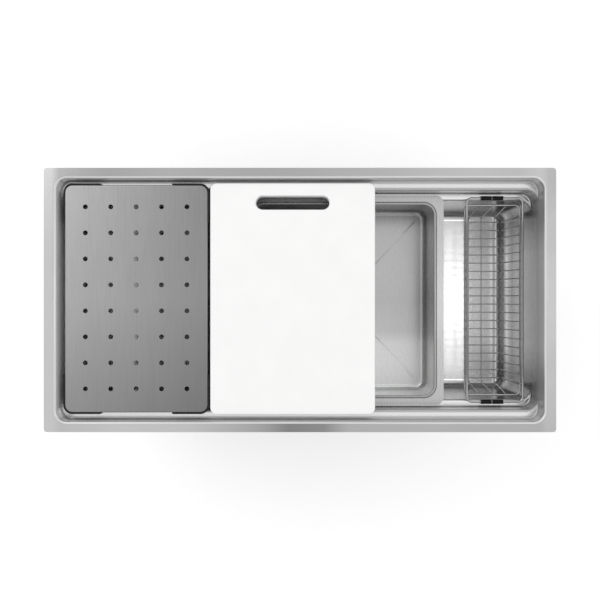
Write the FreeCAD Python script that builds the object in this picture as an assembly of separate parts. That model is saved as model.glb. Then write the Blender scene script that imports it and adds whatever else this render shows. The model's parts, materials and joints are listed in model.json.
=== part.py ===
import FreeCAD, Part
import math
import os

from FreeCAD import Vector

# A single-bowl kitchen sink in stainless sheet, mounted under a worktop, with two tiers
# of ledges along its front and rear walls that carry a draining tray, a cutting board,
# a rinse basin and a wire basket, and with a basket-strainer drain in its floor.
# Millimetres. The origin is the centre of the rim's top face, +X runs to the right along
# the sink, +Y to its rear wall and +Z up.

# Fits shared by every piece
seat_gap = 0.3
thread_gap = 0.1
weld_gap = 0.1
overrun = 2.0
pick_tolerance = 0.001

# Rim and bowl
sink_length = 940.0
sink_width = 485.0
rim_end_width = 21.5
rim_side_width = 19.0
rim_corner_radius = 6.0
sheet_gauge = 1.5
bowl_corner_radius = 20.0
lip_bend_radius = 2.5
ledge_bend_radius = 2.5
ledge_root_radius = 3.0
floor_root_radius = 15.0
upper_ledge_reach = 17.0
lower_ledge_reach = 13.5
upper_ledge_drop = 27.0
lower_ledge_drop = 33.0
bowl_depth = 230.0
drain_offset_x = 0.0
drain_offset_y = 60.0
drain_hole_radius = 45.0
drain_dish_margin = 3.0
drain_dish_slope = 5.0
drain_dish_drop = 6.0

# Sound-deadening pads
pad_thickness = 3.0
pad_height = 90.0
pad_corner_radius = 8.0
pad_edge_margin = 70.0
pad_low_margin = 30.0
pad_drain_margin = 30.0

# Draining tray and its corner guards
tray_wall_gap = 9.7
tray_length = 264.8
tray_gauge = 1.2
tray_bend_radius = 1.2
tray_skirt_height = 15.0
tray_corner_radius = 14.0
tray_hole_radius = 4.5
tray_hole_margin_x = 38.4
tray_hole_margin_rear = 40.5
tray_hole_margin_front = 44.0
tray_hole_columns = 5
tray_hole_rows = 8
guard_thickness = 3.0
guard_foot = 2.0
guard_foot_reach = 7.0
guard_drop = 1.0
guard_arm_x = 69.0
guard_arm_y = 73.0
guard_fit = 0.1

# What lies on the upper ledges stands this far from the rear and front walls
upper_rear_gap = 7.5
upper_front_gap = 12.0

# Cutting board
board_gap = 2.0
board_width = 305.0
board_thickness = 19.0
board_corner_radius = 12.0
board_edge_radius = 2.0
slot_length = 136.6
slot_width = 25.6
slot_margin = 23.2

# Rinse basin
basin_gap = 42.2
basin_length = 388.0
basin_rear_gap = 4.0
basin_front_gap = 3.5
basin_gauge = 1.0
basin_flange_corner = 15.0
basin_border_x = 13.3
basin_wall_clearance = 7.5
basin_step_rise = 2.0
basin_shelf = 6.0
basin_corner_radius = 20.0
basin_bend_radius = 1.0
basin_floor_radius = 9.0
basin_depth = 80.0
basin_crease_width = 4.0
basin_crease_depth_share = 0.4
basin_dish_radius = 30.0
basin_dish_drop = 3.0
basin_hole_radius = 20.0

# Plug of the rinse basin
plug_radius = 27.0
plug_thickness = 1.5
plug_stem_radius = 3.5
plug_stem_height = 7.0
plug_knob_radius = 8.0
plug_knob_height = 5.0
plug_knob_ease_share = 0.25
plug_seal_radius = 25.0
plug_seal_thickness = 2.0
plug_spigot_length = 5.0
plug_spigot_clearance = 0.6

# Wire basket
basket_wall_gap = 15.5
basket_width = 112.0
basket_end_gap = 7.5
frame_wire_radius = 2.0
ring_wire_radius = 1.6
fine_wire_radius = 1.2
frame_corner_radius = 12.0
sleeve_radius = 4.0
sleeve_length = 20.0
sleeve_spacing = 22.4
sleeve_shift = -6.0
sleeve_bore_gap = 0.05
basket_ring_drop = 14.0
basket_ring_inset = 11.2
basket_depth = 80.0
basket_side_taper = 12.5
basket_end_taper = 13.0
basket_end_margin = 24.3
basket_bend_radius = 9.0
cross_wire_count = 20
long_wire_count = 3
long_wire_spacing = 26.5
long_wire_shift = -1.0

# Basket-strainer drain
flange_seal_thickness = 1.0
flange_reach = 11.0
flange_thickness = 4.0
flange_land = 5.0
strainer_cone_drop = 4.0
strainer_play = 0.8
strainer_wall = 3.2
strainer_depth = 45.0
neck_wall = 5.75
neck_length = 15.0
drain_gasket_thickness = 3.0
fibre_washer_thickness = 1.5
locknut_height = 9.0
locknut_lug_reach = 5.0
locknut_lug_width = 10.0
locknut_lug_count = 8
tailpiece_radius = 19.05
tailpiece_wall = 1.3
tailpiece_length = 100.0
tailpiece_flange_thickness = 2.0
tailpiece_flange_bevel = 3.0
tailpiece_washer_thickness = 1.5
coupling_wall = 4.0
coupling_lip = 2.5
coupling_grip = 9.0
coupling_rib_reach = 2.0
coupling_rib_width = 6.0
coupling_rib_count = 8

# Lift-out strainer basket
crumb_gauge = 1.0
crumb_rim_inset = 2.5
crumb_wall_clearance = 1.5
crumb_taper = 5.0
crumb_hole_radius = 2.2
crumb_inner_hole_count = 6
crumb_outer_hole_count = 14
crumb_inner_ring_share = 0.42
crumb_outer_ring_share = 0.78
stopper_lap = 7.25
stopper_thickness = 4.0
stopper_ease_share = 0.5
post_radius = 3.0
post_rise = 22.0
knob_radius = 9.0
knob_height = 6.0
knob_ease_share = 0.33

# Levels and half sizes that follow from the sizes above
bowl_half_length = sink_length / 2 - rim_end_width
bowl_half_width = sink_width / 2 - rim_side_width
middle_half_width = bowl_half_width - upper_ledge_reach
deep_half_width = middle_half_width - lower_ledge_reach
upper_ledge_level = -upper_ledge_drop
lower_ledge_level = upper_ledge_level - lower_ledge_drop
floor_level = -bowl_depth
dish_level = floor_level - drain_dish_drop
drain_axis = Vector(drain_offset_x, drain_offset_y, 0)
flange_radius = drain_hole_radius + flange_reach
drain_dish_foot = flange_radius + drain_dish_margin
drain_dish_radius = drain_dish_foot + drain_dish_slope
upper_rear = bowl_half_width - upper_rear_gap
upper_front = -bowl_half_width + upper_front_gap


def centred_plan(half_x, half_y, corner):
    """A rectangle with round corners about the origin, as its four sides and its corner radius."""
    return (-half_x, half_x, -half_y, half_y, corner)


def grown(plan, by):
    """The same plan moved outwards by a distance, or inwards by a negative one."""
    x_low, x_high, y_low, y_high, corner = plan
    return (x_low - by, x_high + by, y_low - by, y_high + by, corner + by)


def plan_wire(plan, z):
    """The closed outline of a plan at a level."""
    x_low, x_high, y_low, y_high, corner = plan
    centres = [
        Vector(x_high - corner, y_high - corner, z),
        Vector(x_low + corner, y_high - corner, z),
        Vector(x_low + corner, y_low + corner, z),
        Vector(x_high - corner, y_low + corner, z),
    ]
    up = Vector(0, 0, 1)
    arcs = [Part.makeCircle(corner, centres[turn], up, 90 * turn, 90 * turn + 90) for turn in range(4)]
    edges = []
    for turn in range(4):
        start = arcs[turn].Vertexes[1].Point
        end = arcs[(turn + 1) % 4].Vertexes[0].Point
        edges.append(Part.makeLine(start, end))
        edges.append(arcs[(turn + 1) % 4])
    return Part.Wire(edges)


def prism(plan, z_low, z_high):
    """A plan raised from one level to another."""
    return Part.Face(plan_wire(plan, z_low)).extrude(Vector(0, 0, z_high - z_low))


def edges_at(shape, z):
    """The edges of a shape that lie wholly at one level."""
    return [edge for edge in shape.Edges
            if all(abs(point.Z - z) < pick_tolerance for point in edge.Vertexes)]


def tub(plan, z_low, z_high, root):
    """A prism whose bottom edge is rounded."""
    block = prism(plan, z_low, z_high)
    return block.makeFillet(root, edges_at(block, z_low))


def wire_along(path, radius):
    """A round wire along a path that may be open or closed."""
    first = path.OrderedEdges[0]
    start = first.valueAt(first.FirstParameter)
    heading = first.tangentAt(first.FirstParameter)
    if first.Orientation == "Reversed":
        start = first.valueAt(first.LastParameter)
        heading = -first.tangentAt(first.LastParameter)
    section = Part.Wire([Part.makeCircle(radius, start, heading)])
    return path.makePipeShell([section], True, False)


def mouth(plan, top, radius):
    """The flare that rounds the upper edge of an opening of this plan."""
    outer = grown(plan, radius)
    block = prism(outer, top - radius, top)
    return block.cut(wire_along(plan_wire(outer, top - radius), radius))


def cylinder(centre, radius, z_low, z_high):
    """An upright cylinder between two levels."""
    base = Vector(centre.x, centre.y, z_low)
    return Part.makeCylinder(radius, z_high - z_low, base)


def turned(centre, points):
    """A ring or cup turned about an upright axis from its half section."""
    section = [Vector(radius, 0, z) for radius, z in points]
    face = Part.Face(Part.makePolygon(section + [section[0]]))
    solid = face.revolve(Vector(0, 0, 0), Vector(0, 0, 1), 360)
    solid.translate(Vector(centre.x, centre.y, 0))
    return solid


def ring(centre, inner, outer, z_low, z_high):
    """A flat washer between two levels."""
    return turned(centre, [(inner, z_low), (outer, z_low), (outer, z_high), (inner, z_high)])


def rounded_path(points, bend):
    """Straight runs through points, joined by tangent arcs of one radius."""
    edges = []
    start = points[0]
    for before, corner, after in zip(points, points[1:], points[2:]):
        back = (before - corner).normalize()
        ahead = (after - corner).normalize()
        half_angle = back.getAngle(ahead) / 2
        reach = bend / math.tan(half_angle)
        middle = (back + ahead).normalize()
        arc_start = corner + back * reach
        arc_end = corner + ahead * reach
        arc_middle = corner + middle * (bend / math.sin(half_angle) - bend)
        edges.append(Part.makeLine(start, arc_start))
        edges.append(Part.Arc(arc_start, arc_middle, arc_end).toShape())
        start = arc_end
    edges.append(Part.makeLine(start, points[-1]))
    return Part.Wire(edges)


def bowl_form(growth):
    """The inside of the bowl, or its outside when grown by the sheet's gauge."""
    top = -sheet_gauge / 2 if growth else overrun
    above = centred_plan(sink_length / 2, sink_width / 2, rim_corner_radius)
    storeys = [
        (bowl_half_width, 0, upper_ledge_level, ledge_root_radius, lip_bend_radius),
        (middle_half_width, upper_ledge_level, lower_ledge_level, ledge_root_radius, ledge_bend_radius),
        (deep_half_width, lower_ledge_level, floor_level, floor_root_radius, ledge_bend_radius),
    ]
    forms = []
    for half_width, ceiling, bottom, root, bend in storeys:
        plan = grown(centred_plan(bowl_half_length, half_width, bowl_corner_radius), growth)
        forms.append(tub(plan, bottom - growth, top, root + growth))
        flare = mouth(plan, ceiling - growth, bend + sheet_gauge - growth)
        forms.append(flare.common(prism(above, bottom, overrun)))
        above = plan
        top = bottom + root
    dish = Part.makeCone(drain_dish_foot + growth, drain_dish_radius + growth,
                         drain_dish_drop, Vector(drain_axis.x, drain_axis.y, dish_level - growth))
    forms.append(dish)
    return forms[0].fuse(forms[1:])


def sink_bowl():
    """Rim, walls, both tiers of ledges and the floor, pressed and welded as one sheet."""
    rim = prism(centred_plan(sink_length / 2, sink_width / 2, rim_corner_radius), -sheet_gauge, 0)
    shell = bowl_form(sheet_gauge).fuse(rim).cut(bowl_form(0))
    hole = cylinder(drain_axis, drain_hole_radius, dish_level - sheet_gauge - overrun, floor_level)
    return shell.cut(hole).removeSplitter()


def sound_pads():
    """Rubber pads stuck to the outside of the four walls and under the floor."""
    low = floor_level + pad_low_margin
    outside_x = bowl_half_length + sheet_gauge
    outside_y = deep_half_width + sheet_gauge
    half_x = bowl_half_length - pad_edge_margin
    half_y = deep_half_width - pad_edge_margin
    upright = (low, low + pad_height)
    rear = wall_pad(half_x, upright)
    rear.translate(Vector(0, outside_y, 0))
    front = wall_pad(half_x, upright)
    front.translate(Vector(0, -outside_y - pad_thickness, 0))
    right = wall_pad(half_y, upright)
    right.rotate(Vector(0, 0, 0), Vector(0, 0, 1), -90)
    right.translate(Vector(outside_x, 0, 0))
    left = wall_pad(half_y, upright)
    left.rotate(Vector(0, 0, 0), Vector(0, 0, 1), 90)
    left.translate(Vector(-outside_x, 0, 0))
    under = floor_level - sheet_gauge
    near = drain_dish_radius + sheet_gauge + pad_drain_margin
    right_under = (drain_axis.x + near, half_x, -half_y, half_y, pad_corner_radius)
    left_under = (-half_x, drain_axis.x - near, -half_y, half_y, pad_corner_radius)
    return {
        "sound_pad_rear": rear,
        "sound_pad_front": front,
        "sound_pad_right": right,
        "sound_pad_left": left,
        "sound_pad_floor_right": prism(right_under, under - pad_thickness, under),
        "sound_pad_floor_left": prism(left_under, under - pad_thickness, under),
    }


def wall_pad(half_length, levels):
    """A pad with round corners that stands on the plane y = 0 and grows towards +Y."""
    low, high = levels
    flat = (-half_length, half_length, low, high, pad_corner_radius)
    pad = prism(flat, 0, pad_thickness)
    pad.rotate(Vector(0, 0, 0), Vector(1, 0, 0), 90)
    pad.translate(Vector(0, pad_thickness, 0))
    return pad


# Draining tray: the metal stands inside its guards, whose feet rest on the upper ledges
guard_outer_x_low = -bowl_half_length + tray_wall_gap
tray_plan = (
    guard_outer_x_low + guard_thickness,
    guard_outer_x_low + guard_thickness + tray_length,
    upper_front + guard_thickness,
    upper_rear - guard_thickness,
    tray_corner_radius,
)
guard_bottom = upper_ledge_level + seat_gap
tray_bottom = guard_bottom + guard_foot
tray_top = tray_bottom + tray_skirt_height


def evenly(low, high, count):
    """Places spread evenly from one end to the other."""
    return [low + (high - low) * step / (count - 1) for step in range(count)]


def perforated_tray():
    """A plate with turned-down skirts and a grid of round drain holes."""
    x_low, x_high, y_low, y_high, corner = tray_plan
    block = prism(tray_plan, tray_bottom, tray_top)
    block = block.makeFillet(tray_bend_radius + tray_gauge, edges_at(block, tray_top))
    inside = prism(grown(tray_plan, -tray_gauge), tray_bottom - overrun, tray_top - tray_gauge)
    inside = inside.makeFillet(tray_bend_radius, edges_at(inside, tray_top - tray_gauge))
    columns = evenly(x_low + tray_hole_margin_x, x_high - tray_hole_margin_x, tray_hole_columns)
    rows = evenly(y_low + tray_hole_margin_front, y_high - tray_hole_margin_rear, tray_hole_rows)
    holes = [cylinder(Vector(x, y, 0), tray_hole_radius, tray_bottom, tray_top + overrun)
             for x in columns for y in rows]
    return block.cut(inside).cut(holes)


def tray_guards():
    """Four rubber guards that wrap the tray's corners and turn in under its skirt."""
    x_low, x_high, y_low, y_high, corner = grown(tray_plan, guard_thickness)
    skin = prism(grown(tray_plan, guard_thickness), guard_bottom, tray_top - guard_drop)
    skin = skin.cut(prism(grown(tray_plan, guard_fit), tray_bottom, tray_top))
    skin = skin.cut(prism(grown(tray_plan, -guard_foot_reach), guard_bottom - overrun, tray_top))
    guards = {}
    for end, x_start in (("left", x_low), ("right", x_high - guard_arm_x)):
        for side, y_start in (("front", y_low), ("rear", y_high - guard_arm_y)):
            block = Part.makeBox(guard_arm_x, guard_arm_y, tray_top - guard_bottom,
                                 Vector(x_start, y_start, guard_bottom))
            guards["tray_guard_" + side + "_" + end] = skin.common(block)
    return guards


# Cutting board: beside the tray, on the same ledges
board_left = guard_outer_x_low + tray_length + 2 * guard_thickness + board_gap
board_plan = (board_left, board_left + board_width, upper_front, upper_rear, board_corner_radius)
board_bottom = upper_ledge_level + seat_gap
board_top = board_bottom + board_thickness


def cutting_board():
    """A thick slab with eased edges and a round-ended hand slot near its rear edge."""
    middle = board_left + board_width / 2
    slot_rear = upper_rear - slot_margin
    slot_end = slot_width / 2
    slot = (middle - slot_length / 2, middle + slot_length / 2, slot_rear - slot_width, slot_rear)
    ends = [cylinder(Vector(x, slot_rear - slot_end, 0), slot_end, board_bottom - overrun, board_top + overrun)
            for x in (slot[0] + slot_end, slot[1] - slot_end)]
    between = Part.makeBox(slot_length - slot_width, slot_width, board_thickness + 2 * overrun,
                           Vector(slot[0] + slot_end, slot[2], board_bottom - overrun))
    board = prism(board_plan, board_bottom, board_top)
    board = board.cut(between.fuse(ends).removeSplitter())
    rims = edges_at(board, board_bottom) + edges_at(board, board_top)
    return board.makeFillet(board_edge_radius, rims)


# Wire basket: its end wires cross the sink in rubber sleeves that rest on the lower ledges
basket_right = bowl_half_length - basket_wall_gap
basket_left = basket_right - basket_width
basket_middle = basket_right - basket_width / 2
frame_level = lower_ledge_level + seat_gap + sleeve_radius
frame_half_x = basket_width / 2 - frame_wire_radius
frame_half_y = middle_half_width - basket_end_gap - frame_wire_radius

# Rinse basin: left of the basket, its flange rests on the lower ledges
basin_right = basket_left - basin_gap
basin_left = basin_right - basin_length
basin_flange_plan = (
    basin_left,
    basin_right,
    -middle_half_width + basin_front_gap,
    middle_half_width - basin_rear_gap,
    basin_flange_corner,
)
basin_step_half_width = deep_half_width - basin_wall_clearance - basin_gauge + basin_shelf
basin_step_plan = (
    basin_left + basin_border_x,
    basin_right - basin_border_x,
    -basin_step_half_width,
    basin_step_half_width,
    basin_corner_radius + basin_shelf,
)
basin_wall_plan = grown(basin_step_plan, -basin_shelf)
basin_underside = lower_ledge_level + seat_gap
basin_top = basin_underside + basin_gauge
basin_shelf_level = basin_top + basin_step_rise
basin_floor = basin_top - basin_depth
basin_dish_level = basin_floor - basin_dish_drop
basin_centre = Vector((basin_left + basin_right) / 2, 0, 0)


def basin_well(growth, top):
    """The inside of the basin's well, or its outside when grown by its gauge."""
    well = tub(grown(basin_wall_plan, growth), basin_floor - growth, top, basin_floor_radius + growth)
    flare = mouth(grown(basin_wall_plan, growth), basin_shelf_level - growth,
                  basin_bend_radius + basin_gauge - growth)
    dish = cylinder(basin_centre, basin_dish_radius + growth, basin_dish_level - growth, basin_floor)
    return well.fuse([flare, dish])


def basin_flange():
    """The flange's outer border, and the band round the well that stands a step above it."""
    border = prism(basin_flange_plan, basin_underside, basin_top)
    band = prism(basin_step_plan, basin_underside, basin_shelf_level)
    band = band.makeFillet(basin_bend_radius + basin_gauge, edges_at(band, basin_shelf_level))
    ceiling = basin_shelf_level - basin_gauge
    under = prism(grown(basin_step_plan, -basin_gauge), basin_underside - overrun, ceiling)
    under = under.makeFillet(basin_bend_radius, edges_at(under, ceiling))
    return border.fuse(band).cut(under)


def basin_crease(corner):
    """A shallow V groove in the basin's floor from its drain dish towards one corner."""
    depth = basin_gauge * basin_crease_depth_share
    run = corner - basin_centre
    length = run.Length
    section = [
        Vector(0, -basin_crease_width, basin_floor + depth),
        Vector(0, basin_crease_width, basin_floor + depth),
        Vector(0, 0, basin_floor - depth),
    ]
    groove = Part.Face(Part.makePolygon(section + [section[0]])).extrude(Vector(length, 0, 0))
    groove.rotate(Vector(0, 0, 0), Vector(0, 0, 1), math.degrees(math.atan2(run.y, run.x)))
    groove.translate(basin_centre)
    return groove


def rinse_basin():
    """A drawn basin with a stepped flange, diagonal drain creases and a plug hole."""
    outside = basin_well(basin_gauge, basin_shelf_level - basin_gauge)
    shell = basin_flange().fuse(outside).cut(basin_well(0, basin_shelf_level + overrun))
    x_low, x_high, y_low, y_high, corner = basin_wall_plan
    corners = [Vector(x, y, 0) for x in (x_low + corner, x_high - corner)
               for y in (y_low + corner, y_high - corner)]
    creases = [basin_crease(place) for place in corners]
    hole = cylinder(basin_centre, basin_hole_radius, basin_dish_level - basin_gauge - overrun, basin_floor)
    return shell.cut(creases + [hole])


def basin_plug():
    """The plug's steel cap with its stem and pull knob."""
    low = basin_dish_level + seat_gap + plug_seal_thickness
    cap = low + plug_thickness
    neck = cap + plug_stem_height
    head = neck + plug_knob_height
    ease = plug_knob_height * plug_knob_ease_share
    return turned(basin_centre, [
        (0, low), (plug_radius, low), (plug_radius, cap), (plug_stem_radius, cap),
        (plug_stem_radius, neck), (plug_knob_radius, neck + ease), (plug_knob_radius, head - ease),
        (plug_knob_radius - ease, head), (0, head),
    ])


def basin_plug_seal():
    """The plug's rubber: a disc under the cap and a spigot that fills the hole."""
    low = basin_dish_level + seat_gap
    high = low + plug_seal_thickness
    spigot = basin_hole_radius - plug_spigot_clearance
    tip = low - plug_spigot_length
    return turned(basin_centre, [
        (0, tip), (spigot - plug_spigot_clearance, tip), (spigot, low), (plug_seal_radius, low),
        (plug_seal_radius, high), (0, high),
    ])


ring_level = frame_level - basket_ring_drop
ring_half_x = frame_half_x
ring_half_y = frame_half_y - basket_ring_inset
basket_bottom = frame_level - basket_depth


def basket_centred(plan):
    """A plan moved from the origin to the basket's place."""
    x_low, x_high, y_low, y_high, corner = plan
    return (x_low + basket_middle, x_high + basket_middle, y_low, y_high, corner)


def basket_top_frame():
    """The hanger: one closed wire whose ends rest on the lower ledges."""
    plan = basket_centred(centred_plan(frame_half_x, frame_half_y, frame_corner_radius - frame_wire_radius))
    return wire_along(plan_wire(plan, frame_level), frame_wire_radius)


def basket_ring():
    """The closed ring round the basket's body, under the hanger's side wires."""
    plan = basket_centred(centred_plan(ring_half_x, ring_half_y, frame_corner_radius - frame_wire_radius))
    return wire_along(plan_wire(plan, ring_level), ring_wire_radius)


def basket_cross_wires():
    """U-shaped ribs welded inside the hanger and the ring, spread evenly along the basket."""
    top_x = frame_half_x - frame_wire_radius - fine_wire_radius - weld_gap
    low_x = top_x - basket_side_taper
    half_run = ring_half_y - basket_end_margin
    ribs = []
    for y in evenly(-half_run, half_run, cross_wire_count):
        points = [
            Vector(basket_middle - top_x, y, frame_level),
            Vector(basket_middle - top_x, y, ring_level - ring_wire_radius),
            Vector(basket_middle - low_x, y, basket_bottom),
            Vector(basket_middle + low_x, y, basket_bottom),
            Vector(basket_middle + top_x, y, ring_level - ring_wire_radius),
            Vector(basket_middle + top_x, y, frame_level),
        ]
        ribs.append(wire_along(rounded_path(points, basket_bend_radius), fine_wire_radius))
    return Part.makeCompound(ribs)


def basket_long_wires():
    """Floor wires that lie on the ribs and turn up inside the ring's ends."""
    level = basket_bottom + 2 * fine_wire_radius + weld_gap
    end_y = ring_half_y - ring_wire_radius - fine_wire_radius - weld_gap
    low_y = end_y - basket_end_taper
    wires = []
    for step in range(long_wire_count):
        x = basket_middle + long_wire_shift + (step - (long_wire_count - 1) / 2) * long_wire_spacing
        points = [
            Vector(x, -end_y, ring_level),
            Vector(x, -low_y, level),
            Vector(x, low_y, level),
            Vector(x, end_y, ring_level),
        ]
        wires.append(wire_along(rounded_path(points, basket_bend_radius), fine_wire_radius))
    return Part.makeCompound(wires)


def basket_sleeves():
    """Rubber sleeves on the hanger's end wires, a pair at each end."""
    sleeves = {}
    axis = Vector(1, 0, 0)
    for side, y in (("front", -frame_half_y), ("rear", frame_half_y)):
        for end, turn in (("left", -1), ("right", 1)):
            middle = basket_middle + sleeve_shift + turn * sleeve_spacing / 2
            start = Vector(middle - sleeve_length / 2, y, frame_level)
            outside = Part.makeCylinder(sleeve_radius, sleeve_length, start, axis)
            bore = Part.makeCylinder(frame_wire_radius + sleeve_bore_gap, sleeve_length + 2 * overrun,
                                     start - axis * overrun, axis)
            sleeves["basket_sleeve_" + side + "_" + end] = outside.cut(bore)
    return sleeves


# Drain: the strainer body hangs in the floor's hole and is clamped from below
flange_underside = dish_level + flange_seal_thickness
flange_top = flange_underside + flange_thickness
strainer_outer_radius = drain_hole_radius - strainer_play
strainer_bore_radius = strainer_outer_radius - strainer_wall
strainer_cone_radius = flange_radius - flange_land
outlet_radius = tailpiece_radius - tailpiece_wall
neck_radius = outlet_radius + neck_wall
strainer_floor = flange_top - strainer_depth
strainer_underside = strainer_floor - strainer_wall
neck_end = strainer_underside - neck_length
clamp_level = dish_level - sheet_gauge
cone_foot = flange_top - strainer_cone_drop


def strainer_body():
    """The cup of the drain: flange, dished seat, bore, floor and threaded outlet neck."""
    return turned(drain_axis, [
        (flange_radius, flange_underside), (flange_radius, flange_top), (strainer_cone_radius, flange_top),
        (strainer_bore_radius, cone_foot), (strainer_bore_radius, strainer_floor),
        (outlet_radius, strainer_floor), (outlet_radius, neck_end), (neck_radius, neck_end),
        (neck_radius, strainer_underside), (strainer_outer_radius, strainer_underside),
        (strainer_outer_radius, flange_underside),
    ])


def radial_lugs(centre, count, inner, outer, width, levels):
    """Blocks spread round an upright axis, from one radius to another."""
    low, high = levels
    lugs = []
    for step in range(count):
        lug = Part.makeBox(outer - inner, width, high - low, Vector(inner, -width / 2, low))
        lug.rotate(Vector(0, 0, 0), Vector(0, 0, 1), 360 * step / count)
        lug.translate(Vector(centre.x, centre.y, 0))
        lugs.append(lug)
    return lugs


def drain_washers():
    """The seal under the flange, and the gasket and fibre washer under the sink."""
    inner = strainer_outer_radius + thread_gap
    gasket_low = clamp_level - drain_gasket_thickness
    return {
        "flange_seal": ring(drain_axis, drain_hole_radius, flange_radius, dish_level, flange_underside),
        "drain_gasket": ring(drain_axis, inner, flange_radius, gasket_low, clamp_level),
        "fibre_washer": ring(drain_axis, inner, flange_radius, gasket_low - fibre_washer_thickness, gasket_low),
    }


def locknut():
    """The large nut with lugs that clamps the strainer body to the floor."""
    high = clamp_level - drain_gasket_thickness - fibre_washer_thickness
    low = high - locknut_height
    body = ring(drain_axis, strainer_outer_radius + thread_gap, flange_radius, low, high)
    root = (strainer_outer_radius + flange_radius) / 2
    lugs = radial_lugs(drain_axis, locknut_lug_count, root, flange_radius + locknut_lug_reach,
                       locknut_lug_width, (low, high))
    return body.fuse(lugs).removeSplitter()


tail_washer_low = neck_end - tailpiece_washer_thickness
tail_flange_low = tail_washer_low - tailpiece_flange_thickness
tail_end = tail_washer_low - tailpiece_length
tail_flange_root = tailpiece_radius + tailpiece_flange_bevel


def tailpiece_washer():
    """The flat washer between the outlet neck and the tailpiece."""
    return ring(drain_axis, outlet_radius, neck_radius - thread_gap, tail_washer_low, neck_end)


def tailpiece():
    """The straight outlet pipe with a flange at its top."""
    return turned(drain_axis, [
        (outlet_radius, tail_end), (tailpiece_radius, tail_end),
        (tailpiece_radius, tail_flange_low - tailpiece_flange_bevel), (tail_flange_root, tail_flange_low),
        (neck_radius - thread_gap, tail_flange_low), (neck_radius - thread_gap, tail_washer_low),
        (outlet_radius, tail_washer_low),
    ])


def coupling_nut():
    """The ribbed nut that draws the tailpiece's flange up against the neck."""
    bore = neck_radius + thread_gap
    outer = bore + coupling_wall
    lip_top = tail_flange_low
    low = lip_top - coupling_lip
    high = neck_end + coupling_grip
    lip_bore = tail_flange_root + thread_gap
    body = turned(drain_axis, [
        (lip_bore - coupling_lip, low), (outer, low), (outer, high), (bore, high), (bore, lip_top),
        (lip_bore, lip_top),
    ])
    root = (bore + outer) / 2
    ribs = radial_lugs(drain_axis, coupling_rib_count, root, outer + coupling_rib_reach,
                       coupling_rib_width, (low, high))
    return body.fuse(ribs).removeSplitter()


# Lift-out strainer basket: its rim lies in the dished seat, its stopper on the cup's floor
stopper_radius = outlet_radius + stopper_lap
stopper_low = strainer_floor + seat_gap
stopper_top = stopper_low + stopper_thickness
crumb_floor = stopper_top + crumb_gauge
crumb_wall_top = strainer_bore_radius - crumb_wall_clearance
crumb_wall_low = crumb_wall_top - crumb_taper


def crumb_seat(radius):
    """The level of the basket's rim underside above the dished seat at a radius."""
    slope = strainer_cone_drop / (strainer_cone_radius - strainer_bore_radius)
    lift = seat_gap * math.sqrt(1 + slope * slope)
    return flange_top - slope * (strainer_cone_radius - radius) + lift


def strainer_basket():
    """The perforated crumb cup with a dished rim."""
    rim = strainer_cone_radius - crumb_rim_inset
    cup = turned(drain_axis, [
        (0, stopper_top), (crumb_wall_low, stopper_top), (crumb_wall_top, crumb_seat(crumb_wall_top)),
        (rim, crumb_seat(rim)), (rim, crumb_seat(rim) + crumb_gauge),
        (crumb_wall_top - crumb_gauge, crumb_seat(crumb_wall_top) + crumb_gauge),
        (crumb_wall_low - crumb_gauge, crumb_floor), (0, crumb_floor),
    ])
    holes = [cylinder(drain_axis, post_radius + thread_gap, stopper_top - overrun, crumb_floor + overrun)]
    for count, share in ((crumb_inner_hole_count, crumb_inner_ring_share),
                         (crumb_outer_hole_count, crumb_outer_ring_share)):
        for step in range(count):
            angle = 2 * math.pi * step / count
            reach = Vector(math.cos(angle), math.sin(angle), 0) * (crumb_wall_low * share)
            low = stopper_top - overrun
            holes.append(cylinder(drain_axis + reach, crumb_hole_radius, low, crumb_floor + overrun))
    return cup.cut(holes)


def strainer_stopper():
    """The rubber disc under the crumb cup that closes the outlet."""
    inner = post_radius + thread_gap
    ease = stopper_thickness * stopper_ease_share
    return turned(drain_axis, [
        (inner, stopper_low), (stopper_radius - ease, stopper_low), (stopper_radius, stopper_low + ease),
        (stopper_radius, stopper_top), (inner, stopper_top),
    ])


def strainer_post():
    """The centre post with its pull knob."""
    top = crumb_floor + post_rise
    ease = knob_height * knob_ease_share
    return turned(drain_axis, [
        (0, stopper_low), (post_radius, stopper_low), (post_radius, top), (knob_radius, top + ease),
        (knob_radius, top + knob_height - ease), (knob_radius - ease, top + knob_height),
        (0, top + knob_height),
    ])


def all_nodes():
    """Every separate piece by its node's name."""
    nodes = {
        "sink_bowl": sink_bowl(),
        "perforated_tray": perforated_tray(),
        "cutting_board": cutting_board(),
        "rinse_basin": rinse_basin(),
        "basin_plug": basin_plug(),
        "basin_plug_seal": basin_plug_seal(),
        "basket_top_frame": basket_top_frame(),
        "basket_ring": basket_ring(),
        "basket_cross_wires": basket_cross_wires(),
        "basket_long_wires": basket_long_wires(),
        "strainer_body": strainer_body(),
        "locknut": locknut(),
        "tailpiece_washer": tailpiece_washer(),
        "tailpiece": tailpiece(),
        "coupling_nut": coupling_nut(),
        "strainer_basket": strainer_basket(),
        "strainer_stopper": strainer_stopper(),
        "strainer_post": strainer_post(),
    }
    nodes.update(sound_pads())
    nodes.update(tray_guards())
    nodes.update(basket_sleeves())
    nodes.update(drain_washers())
    return nodes


os.makedirs("parts", exist_ok=True)
for name, shape in all_nodes().items():
    shape.exportStep("parts/" + name + ".step")
    print(name, len(shape.Solids), "solids", round(shape.Volume / 1000, 2), "cm3", shape.isValid())
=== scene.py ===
import json

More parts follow.
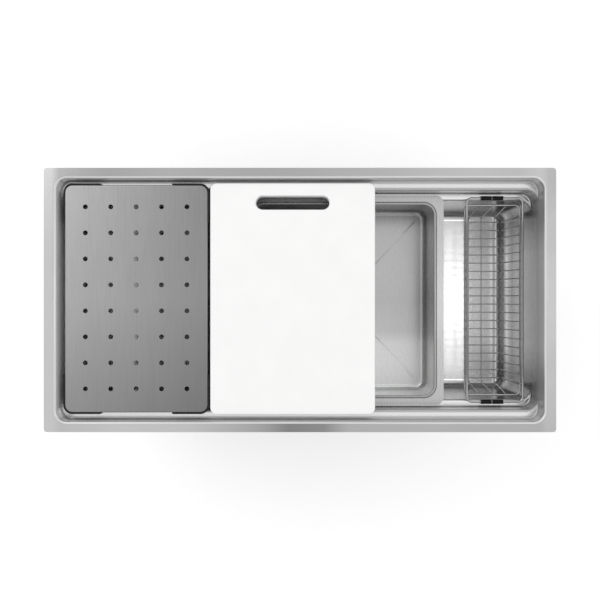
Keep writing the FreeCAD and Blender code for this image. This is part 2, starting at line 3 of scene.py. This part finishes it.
import bpy
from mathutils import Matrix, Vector

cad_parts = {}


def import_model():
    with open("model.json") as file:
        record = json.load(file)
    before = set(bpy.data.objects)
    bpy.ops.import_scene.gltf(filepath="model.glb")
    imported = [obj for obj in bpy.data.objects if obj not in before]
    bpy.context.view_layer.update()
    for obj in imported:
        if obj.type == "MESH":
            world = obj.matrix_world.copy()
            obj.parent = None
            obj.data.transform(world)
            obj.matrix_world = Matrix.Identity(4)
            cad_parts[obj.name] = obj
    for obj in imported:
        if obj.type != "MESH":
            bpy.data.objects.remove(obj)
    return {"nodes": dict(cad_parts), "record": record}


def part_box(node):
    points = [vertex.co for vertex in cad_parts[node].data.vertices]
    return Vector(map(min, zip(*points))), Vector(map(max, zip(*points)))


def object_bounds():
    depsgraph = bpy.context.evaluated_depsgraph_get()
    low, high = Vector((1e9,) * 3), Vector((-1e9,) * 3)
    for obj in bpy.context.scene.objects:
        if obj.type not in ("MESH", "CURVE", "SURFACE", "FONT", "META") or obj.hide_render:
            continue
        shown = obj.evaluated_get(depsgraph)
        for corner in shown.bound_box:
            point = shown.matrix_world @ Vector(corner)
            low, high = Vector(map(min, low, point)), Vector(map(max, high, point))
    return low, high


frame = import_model()
cad_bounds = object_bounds()

# The camera looks from straight above the middle of the sink, with a sensor in millimetres
camera_height = 1.011
sensor_width = 36.0
view_width = 1.1004

# The floor, the world and the lamps
white = (1, 1, 1, 1)
floor_gap = 0.02
floor_size = 16.0
floor_colour = (0.86, 0.86, 0.86, 1)
floor_roughness = 0.9
floor_lift = 0.25
world_reflected = 1.0
world_light = 0.9
key_power = 18.0
key_size = (2.4, 2.0)
key_place = Vector((-2.0, 1.9, 2.3))
fill_power = 1.8
fill_size = (0.5, 1.4)
fill_place = Vector((1.0, 0.0, 2.3))

# Noise: the range that it mostly keeps to, and the detail and roughness of its two kinds
noise_range = (0.3, 0.7)
fine_noise = (3.0, 0.6)
broad_noise = (2.0, 0.5)

# Brushed steel: its streaks and clouds, which stretch along the brushing, and its relief
streak_stretch = 0.012
cloud_stretch = 0.3
cloud_grain = 14.0
cloud_contrast = 0.02
steel_relief = 0.00001
steel_relief_strength = 0.15

# Moulded pieces
moulded_cloud_grain = 18.0
moulded_roughness_spread = 0.06

# The sink's sheet
bowl_grain = 1500.0
bowl_contrast = 0.015
bowl_cloud_grain = 12.0
bowl_cloud_stretch = 0.4
bowl_roughness = 0.2
bowl_metal = 0.75
dull_metal = 0.35
floor_metal = 1.0
outside_tone = 0.50
end_band = 0.03

# Levels and places that divide it: the floor, the dull walls, the rim, its right end, the ledges' tips
floor_limit = -0.2
dull_levels = (-0.06, -0.028)
rim_limit = -0.02
right_rim_range = (0.44, 0.452)
ledge_corner = (0.4255, 0.188)

# Its normal's turn from none to full: inwards, as a product with its place, upwards, and to the ends
facing_in_range = (0.0, -0.02)
facing_up_range = (0.97, 0.9995)
facing_end_range = (0.6, 0.8)

# Its tones by level, as pairs of level and tone from the lowest up: the steel's tone with painted light
# and shade
# Painted light on the flats: the floor and ledges lighter than the rim and its lip
facing_up_light_tones = [
    (-0.237, 0.86), (-0.225, 0.97), (-0.062, 0.86), (-0.058, 0.86), (-0.029, 0.79), (-0.025, 0.79),
    (-0.0012, 0.70), (-0.0004, 0.50)]
# Painted shade on the long stepped walls, darkest part way down
stepped_wall_shade_tones = [
    (-0.230, 0.80), (-0.222, 0.58), (-0.205, 0.67), (-0.184, 0.42), (-0.160, 0.28), (-0.128, 0.25),
    (-0.095, 0.25), (-0.064, 0.29), (-0.0620, 0.52), (-0.0602, 0.52), (-0.0598, 0.36), (-0.056, 0.36),
    (-0.033, 0.38), (-0.0290, 0.44), (-0.0272, 0.44), (-0.0268, 0.46), (-0.023, 0.46), (-0.0024, 0.50),
    (-0.0012, 0.66)]
# Painted shade on the right wall, lighter at its foot and darker part way up
right_wall_shade_tones = [
    (-0.230, 1.0), (-0.186, 1.0), (-0.175, 0.62), (-0.155, 0.38), (-0.142, 0.50), (-0.110, 0.60),
    (-0.080, 0.49), (-0.050, 0.42), (-0.035, 0.46), (-0.018, 0.60), (-0.0024, 0.60), (-0.0012, 0.66)]
# Painted light on the left wall, lifted to full tone below its lip
left_wall_light_tones = [(-0.230, 1.0), (-0.0024, 1.0), (-0.0012, 0.66)]

# Its tones by distance from the long middle line, all painted: on the ledges, the right wall and the rim's
# right end
# Painted shade on the ledges' outer parts, standing in for the dark wall's reflection
ledge_shade_tones = [
    (0.1940, 1.0), (0.1955, 0.60), (0.1975, 1.0), (0.2025, 1.0), (0.2040, 0.50), (0.2105, 0.45),
    (0.2122, 1.0), (0.2188, 1.0), (0.2204, 0.50)]
# Painted shade in the right wall's corners
right_corner_shade_tones = [(0.09, 1.0), (0.15, 0.60)]
# Painted light along the rim's right end, lighter towards its corners
right_rim_highlight_tones = [(0.0, 0.93), (0.045, 0.95), (0.10, 1.07), (0.15, 1.20), (0.22, 1.12)]

# Its painted light and shade along the rim, from the left end to the right, with a dark patch in the
# front's middle
rear_rim_light_tones = [
    (-0.456, 1.10), (-0.442, 0.80), (-0.35, 0.71), (-0.24, 0.83), (-0.11, 0.78), (0.0, 0.80),
    (0.13, 0.87), (0.264, 0.98), (0.33, 1.02), (0.40, 0.98), (0.44, 1.10), (0.456, 0.85)]
front_rim_light_tones = [
    (-0.456, 1.10), (-0.44, 0.99), (-0.33, 1.07), (-0.20, 1.03), (-0.11, 0.82), (-0.066, 0.69),
    (-0.022, 0.45), (0.044, 0.52), (0.088, 0.84), (0.264, 0.86), (0.44, 0.84), (0.456, 0.85)]

# The tray's painted shade at its left and right ends, and at its front, middle and rear
tray_end_shade_tones = (0.90, 0.59)
tray_side_shade_tones = (0.70, 1.0, 0.96)

# The basin's painted light and shade from front to rear, and its painted shade towards its right end
basin_row_light_tones = [
    (-0.13, 1.60), (-0.092, 1.49), (-0.065, 1.12), (0.0, 0.98), (0.13, 1.15), (0.150, 1.12), (0.176, 0.70)]
basin_right_start = 0.14
basin_right_margin = 0.02
basin_right_shade_tone = 0.77

# Painted light on its walls, by the normal's Z. On its flange, by depth below its top, and where that
# steps up
basin_wall_range = (0.7, 0.99)
basin_wall_light_tone = 1.5
flange_depths = (0.0035, 0.0025)
# Painted highlight and shade on the flange's band, and a painted dark line on its step
band_depths = (0.0015, 0.0005)
band_highlight_tones = (1.15, 0.80)
step_range = (0.005, 0.03)
step_shade_tone = 0.3

# The basket's two closed wires, from their long sides to their ends: painted shade on the sides, lighter
# at the ends
closed_end_margins = (0.045, 0.02)
closed_wire_light_tones = (0.38, 0.65)

# Its other wires, from the bottom up and from the left side on: painted shade along the bottom and the
# left
lower_wire_rises = (0.004, 0.016)
lower_wire_margins = (0.01, 0.03)
lower_wire_shade_tones = (0.55, 1.0)


class Tree:
    """The node tree of a material or of the world, with short calls for its nodes."""

    def __init__(self, owner):
        owner.use_nodes = True
        self.owner = owner
        self.nodes = owner.node_tree.nodes
        self.links = owner.node_tree.links
        self.shader = self.nodes.get("Principled BSDF") or self.nodes["Background"]

    def feed(self, value, socket):
        """A socket gets a link from another, or else a value of its own."""
        if isinstance(value, bpy.types.NodeSocket):
            self.links.new(value, socket)
        else:
            socket.default_value = value

    def give(self, name, value):
        """The shader's own socket gets a link or a value."""
        self.feed(value, self.shader.inputs[name])

    def node(self, kind, inputs=None, **settings):
        """A new node. Its inputs go by name or by number."""
        made = self.nodes.new(kind)
        for key, value in settings.items():
            setattr(made, key, value)
        for key, value in (inputs or {}).items():
            self.feed(value, made.inputs[key])
        return made

    def place(self):
        """The point on the surface, in the part's own frame."""
        return self.node("ShaderNodeTexCoord").outputs["Object"]

    def normal(self):
        """The X, Y and Z of the way that the surface faces."""
        return self.split(self.node("ShaderNodeTexCoord").outputs["Normal"])

    def seen(self):
        """1 for what the camera sees, also in a reflection or through something clear."""
        path = self.node("ShaderNodeLightPath")
        shown = self.maths("MAXIMUM", path.outputs["Is Camera Ray"], path.outputs["Is Glossy Ray"])
        return self.maths("MAXIMUM", shown, path.outputs["Is Transmission Ray"])

    def split(self, source):
        """The X, Y and Z of a vector."""
        return self.node("ShaderNodeSeparateXYZ", {0: source}).outputs

    def maths(self, operation, *values):
        return self.node("ShaderNodeMath", dict(enumerate(values)), operation=operation).outputs[0]

    def product(self, first, *others):
        for other in others:
            first = self.maths("MULTIPLY", first, other)
        return first

    def outward(self, normal, x, y):
        """How much a surface at x, y faces away from the middle: the product of normal and place."""
        return self.maths("ADD", self.product(normal["X"], x), self.product(normal["Y"], y))

    def stretched(self, source, along, scale):
        """A place for noise that is drawn out along one axis."""
        scales = [scale if axis == along else 1.0 for axis in "XYZ"]
        return self.node("ShaderNodeMapping", {"Vector": source, "Scale": scales}).outputs[0]

    def noise(self, vector, scale, kind=broad_noise):
        detail, roughness = kind
        inputs = {"Vector": vector, "Scale": scale, "Detail": detail, "Roughness": roughness}
        return self.node("ShaderNodeTexNoise", inputs).outputs["Fac"]

    def streaks(self, place, along, grain):
        """Fine noise that is drawn out along the brushing."""
        return self.noise(self.stretched(place, along, streak_stretch), grain, fine_noise)

    def remap(self, source, from_low, from_high, to_low=0.0, to_high=1.0, smooth=False):
        """A number carried from one range to another, and kept within it."""
        inputs = {"Value": source, "From Min": from_low, "From Max": from_high,
                  "To Min": to_low, "To Max": to_high}
        way = "SMOOTHSTEP" if smooth else "LINEAR"
        return self.node("ShaderNodeMapRange", inputs, interpolation_type=way).outputs["Result"]

    def varied(self, noise, middle, spread):
        """A number that strays from its middle with a noise."""
        return self.remap(noise, *noise_range, middle - spread, middle + spread)

    def ramp(self, source, stops):
        """A number that follows pairs of input and output, straight between them."""
        low, high = stops[0][0], stops[-1][0]
        made = self.node("ShaderNodeValToRGB", {0: self.remap(source, low, high)})
        elements = made.color_ramp.elements
        while len(elements) < len(stops):
            elements.new(position=0.5)
        for element, (level, tone) in zip(elements, stops):
            element.position = (level - low) / (high - low)
            element.color = (tone, tone, tone, 1)
        return made.outputs[0]

    def blend(self, factor, first, second):
        """A number that runs from first to second as the factor runs from 0 to 1."""
        return self.node("ShaderNodeMix", {0: factor, 2: first, 3: second}, data_type="FLOAT").outputs[0]

    def tinted(self, colour, factor):
        """A colour made lighter or darker by a number that varies over the surface."""
        inputs = {0: 1.0, 6: (*colour, 1), 7: factor}
        return self.node("ShaderNodeMix", inputs, data_type="RGBA", blend_type="MULTIPLY").outputs[2]

    def bump(self, height, distance, strength=1.0):
        inputs = {"Height": height, "Distance": distance, "Strength": strength}
        self.give("Normal", self.node("ShaderNodeBump", inputs).outputs["Normal"])


def finish_steel(tree, streaks, clouds, colour, roughness, contrast, painted_shades=(), metal=1.0):
    """Streaks, clouds and any painted shades vary the tone, and the streaks also the roughness and the
    relief.
    """
    tones = (tree.varied(streaks, 1.0, contrast), tree.varied(clouds, 1.0, cloud_contrast), *painted_shades)
    tree.give("Base Color", tree.tinted(colour, tree.product(*tones)))
    tree.give("Roughness", tree.varied(streaks, roughness, contrast))
    tree.give("Metallic", metal)
    tree.bump(streaks, steel_relief, steel_relief_strength)


def brushed(name, along, grain, painted_shading=None, **look):
    """Brushed steel with fine streaks along one axis, a slow cloudiness and any painted shading."""
    tree = Tree(bpy.data.materials.new(name))
    place = tree.place()
    streaks = tree.streaks(place, along, grain)
    clouds = tree.noise(tree.stretched(place, along, cloud_stretch), cloud_grain)
    painted_shades = [painted_shading(tree)] if painted_shading else []
    finish_steel(tree, streaks, clouds, painted_shades=painted_shades, **look)
    return tree.owner


def plain(name, colour, roughness, grain=400.0, variation=0.05, relief=0.00002, specular=0.5):
    """A matt moulded surface with a fine grain and a slight unevenness of tone."""
    tree = Tree(bpy.data.materials.new(name))
    place = tree.place()
    fine = tree.noise(place, grain, fine_noise)
    tone = tree.varied(tree.noise(place, moulded_cloud_grain), 1.0, variation)
    tree.give("Base Color", tree.tinted(colour, tone))
    tree.give("Roughness", tree.varied(fine, roughness, moulded_roughness_spread))
    tree.give("Specular IOR Level", specular)
    tree.bump(fine, relief)
    return tree.owner


def bowl_sides(tree, split):
    """Whether the sheet faces up, inwards, and towards the other end, each from 0 to 1."""
    normal = tree.normal()
    facing = tree.remap(normal["Z"], *facing_up_range, smooth=True)
    inner = tree.remap(tree.outward(normal, split["X"], split["Y"]), *facing_in_range)
    at_end = tree.remap(tree.maths("ABSOLUTE", normal["X"]), *facing_end_range)
    return facing, inner, at_end


def rounded(tree, split):
    """The distance from the middle line, which runs round the ends of the ledges as their tips do."""
    past = [tree.maths("MAXIMUM", tree.maths("SUBTRACT", tree.maths("ABSOLUTE", split[axis]), start), 0.0)
            for axis, start in zip("XY", ledge_corner)]
    square = tree.maths("ADD", *[tree.product(length, length) for length in past])
    return tree.maths("ADD", tree.maths("SQRT", square), ledge_corner[1])


def bowl_painted_light(tree, split, facing, inner, at_end):
    """Painted light and shade on the sheet: by its place, and by whether it faces up, inwards or outwards.
    """
    along, level = split["X"], split["Z"]
    across = tree.maths("ABSOLUTE", split["Y"])
    # Painted shade on the end walls by level, and in the right wall's corners
    right = tree.product(tree.ramp(level, right_wall_shade_tones), tree.ramp(across, right_corner_shade_tones))
    left = tree.ramp(level, left_wall_light_tones)
    ends = tree.blend(tree.maths("GREATER_THAN", along, 0.0), left, right)
    inner_walls = tree.blend(at_end, tree.ramp(level, stepped_wall_shade_tones), ends)
    walls = tree.blend(inner, outside_tone, inner_walls)
    # Painted light and shade along the rim and at its right end
    front_rim = tree.ramp(along, front_rim_light_tones)
    rear_rim = tree.ramp(along, rear_rim_light_tones)
    rim = tree.blend(tree.maths("GREATER_THAN", split["Y"], 0.0), front_rim, rear_rim)
    at_right = tree.remap(along, *right_rim_range)
    rim = tree.product(rim, tree.blend(at_right, 1.0, tree.ramp(across, right_rim_highlight_tones)))
    # Painted shade on the ledges' outer parts
    ledge = tree.ramp(rounded(tree, split), ledge_shade_tones)
    flats = tree.blend(tree.maths("GREATER_THAN", level, rim_limit), ledge, rim)
    # Flats that face up take the painted light by level, walls the painted shade
    return tree.blend(facing, walls, tree.product(flats, tree.ramp(level, facing_up_light_tones)))


def bowl_metallic(tree, split, facing, inner, at_end):
    """The inner walls are duller at the left end and above the ledges, and the floor is brighter."""
    above = tree.remap(split["Z"], *dull_levels)
    at_left = tree.product(at_end, tree.maths("LESS_THAN", split["X"], 0.0))
    upright = tree.maths("SUBTRACT", 1.0, facing)
    dull = tree.product(inner, tree.maths("MAXIMUM", at_left, above), upright)
    walls = tree.remap(dull, 0.0, 1.0, bowl_metal, dull_metal)
    on_floor = tree.product(facing, tree.maths("LESS_THAN", split["Z"], floor_limit))
    return tree.blend(on_floor, walls, floor_metal)


def bowl_steel():
    """The sink's own sheet: its streaks run along X, and along Y in a band at each end."""
    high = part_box("sink_bowl")[1]
    tree = Tree(bpy.data.materials.new("bowl_steel"))
    place = tree.place()
    split = tree.split(place)
    end_margin = tree.maths("SUBTRACT", high.x, tree.maths("ABSOLUTE", split["X"]))
    side_margin = tree.maths("SUBTRACT", high.y, tree.maths("ABSOLUTE", split["Y"]))
    nearest_end = tree.maths("LESS_THAN", end_margin, side_margin)
    in_band = tree.product(nearest_end, tree.maths("LESS_THAN", end_margin, end_band))
    both = [tree.streaks(place, axis, bowl_grain) for axis in "XY"]
    streaks = tree.blend(in_band, *both)
    clouds = tree.noise(tree.stretched(place, "X", bowl_cloud_stretch), bowl_cloud_grain)
    sides = bowl_sides(tree, split)
    # The sheet's tone carries painted light and shade by place and facing
    finish_steel(tree, streaks, clouds, colour=white[:3], roughness=bowl_roughness,
                 contrast=bowl_contrast, painted_shades=[bowl_painted_light(tree, split, *sides)])
    tree.give("Metallic", bowl_metallic(tree, split, *sides))
    return tree.owner


def tray_painted_shade(tree):
    """Painted shade: the tray is lighter towards its left end and darker towards its front."""
    low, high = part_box("perforated_tray")
    split = tree.split(tree.place())
    along = tree.remap(split["X"], low.x, high.x, *tray_end_shade_tones)
    rows = list(zip((low.y, 0.0, high.y), tray_side_shade_tones))
    return tree.product(along, tree.ramp(split["Y"], rows))


def basin_painted_light(tree):
    """Painted shade at the basin's right end, rear and flange step, and painted light on its walls."""
    low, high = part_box("rinse_basin")
    split = tree.split(tree.place())
    normal = tree.normal()
    along = tree.remap(split["X"], basin_right_start, high.x - basin_right_margin, 1.0, basin_right_shade_tone)
    wall = tree.remap(normal["Z"], *basin_wall_range, basin_wall_light_tone, 1.0, smooth=True)
    inside = tree.product(along, tree.ramp(split["Y"], basin_row_light_tones), wall)
    from_middle = tree.maths("SUBTRACT", split["X"], (low.x + high.x) / 2)
    step = tree.remap(tree.outward(normal, from_middle, split["Y"]), *step_range, 1.0, step_shade_tone)
    on_flange = tree.remap(split["Z"], *[high.z - depth for depth in flange_depths])
    band = tree.remap(split["Z"], *[high.z - depth for depth in band_depths], *band_highlight_tones)
    return tree.blend(on_flange, inside, tree.product(band, step))


def wire_painted_light(tree):
    """Painted shade: closed wires darker on the basket's sides, the others on its bottom and left."""
    low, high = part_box("basket_ring")
    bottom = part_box("basket_cross_wires")[0].z
    split = tree.split(tree.place())
    ends = [high.y - margin for margin in closed_end_margins]
    closed = tree.remap(tree.maths("ABSOLUTE", split["Y"]), *ends, *closed_wire_light_tones)
    rising = tree.remap(split["Z"], *[bottom + rise for rise in lower_wire_rises])
    off_left = tree.remap(split["X"], *[low.x + margin for margin in lower_wire_margins])
    lower = tree.remap(tree.product(rising, off_left), 0.0, 1.0, *lower_wire_shade_tones)
    return tree.blend(tree.maths("GREATER_THAN", split["Z"], low.z), lower, closed)


# The tray, basin and wire steels carry painted light and shade from their shading functions
finishes = {
    "bowl_steel": bowl_steel(),
    "tray_steel": brushed("tray_steel", along="Y", grain=1500.0, painted_shading=tray_painted_shade,
                          colour=(0.44, 0.442, 0.44), roughness=0.32, contrast=0.06),
    "basin_steel": brushed("basin_steel", along="Y", grain=1500.0, painted_shading=basin_painted_light,
                           colour=(0.42, 0.424, 0.42), roughness=0.28, contrast=0.04, metal=bowl_metal),
    "board_white": plain("board_white", (0.93, 0.93, 0.925), roughness=0.5, grain=600.0, variation=0.012),
    "wire_steel": brushed("wire_steel", along="Y", grain=500.0, painted_shading=wire_painted_light,
                          colour=(0.66, 0.665, 0.67), roughness=0.2, contrast=0.04),
    "guard_rubber": plain("guard_rubber", (0.013, 0.013, 0.013), roughness=0.55, specular=0.2),
    "sleeve_rubber": plain("sleeve_rubber", (0.008, 0.008, 0.008), roughness=0.45, specular=0.15),
    "pad_rubber": plain("pad_rubber", (0.075, 0.075, 0.078), roughness=0.8, grain=700.0,
                        variation=0.12, relief=0.00008),
    "drain_steel": brushed("drain_steel", along="X", grain=700.0,
                           colour=(0.64, 0.645, 0.65), roughness=0.2, contrast=0.05),
    "tail_chrome": brushed("tail_chrome", along="Z", grain=300.0,
                           colour=(0.74, 0.745, 0.75), roughness=0.08, contrast=0.02),
    "seal_rubber": plain("seal_rubber", (0.03, 0.03, 0.03), roughness=0.6),
    "nut_plastic": plain("nut_plastic", (0.78, 0.78, 0.75), roughness=0.45, grain=300.0, variation=0.02),
    "fibre": plain("fibre", (0.42, 0.30, 0.18), roughness=0.85, grain=900.0,
                   variation=0.15, relief=0.00005),
}


def dress_nodes():
    """Every CAD node gets the finish of its slot in the record."""
    for row in frame["record"]["subparts"]:
        node = frame["nodes"][row["node"]]
        node.data.materials.clear()
        node.data.materials.append(finishes[row["material_slot"]])


def floor():
    """A plain pale floor under the sink, lifted a little where it is seen."""
    low = cad_bounds[0]
    bpy.ops.mesh.primitive_plane_add(size=floor_size, location=(0, 0, low.z - floor_gap))
    plane = bpy.context.object
    plane.name = "floor"
    tree = Tree(bpy.data.materials.new("floor"))
    tree.give("Base Color", floor_colour)
    tree.give("Roughness", floor_roughness)
    tree.give("Specular IOR Level", 0.0)
    tree.give("Emission Color", white)
    tree.give("Emission Strength", tree.product(tree.seen(), floor_lift))
    plane.data.materials.append(tree.owner)


def world():
    """Even white all round: full strength where it is seen or reflected, softer as light."""
    tree = Tree(bpy.data.worlds.new("studio"))
    bpy.context.scene.world = tree.owner
    tree.give("Color", white)
    tree.give("Strength", tree.remap(tree.seen(), 0.0, 1.0, world_light, world_reflected))


def lamp(name, power, size, place):
    """A soft rectangular lamp that points at the middle of the sink."""
    data = bpy.data.lights.new(name, "AREA")
    data.shape = "RECTANGLE"
    data.size, data.size_y = size
    data.energy = power
    made = bpy.data.objects.new(name, data)
    bpy.context.scene.collection.objects.link(made)
    made.location = place
    made.rotation_mode = "QUATERNION"
    made.rotation_quaternion = place.to_track_quat("Z", "Y")


def camera():
    """Looks straight down with the sink's rear wall at the top of the picture."""
    data = bpy.data.cameras.new("camera")
    data.sensor_width = sensor_width
    data.lens = sensor_width * camera_height / view_width
    made = bpy.data.objects.new("camera", data)
    bpy.context.scene.collection.objects.link(made)
    made.location = (0, 0, camera_height)
    bpy.context.scene.camera = made


dress_nodes()
floor()
world()
lamp("key", key_power, key_size, key_place)
lamp("fill", fill_power, fill_size, fill_place)
camera()
bpy.context.scene.view_settings.view_transform = "Standard"
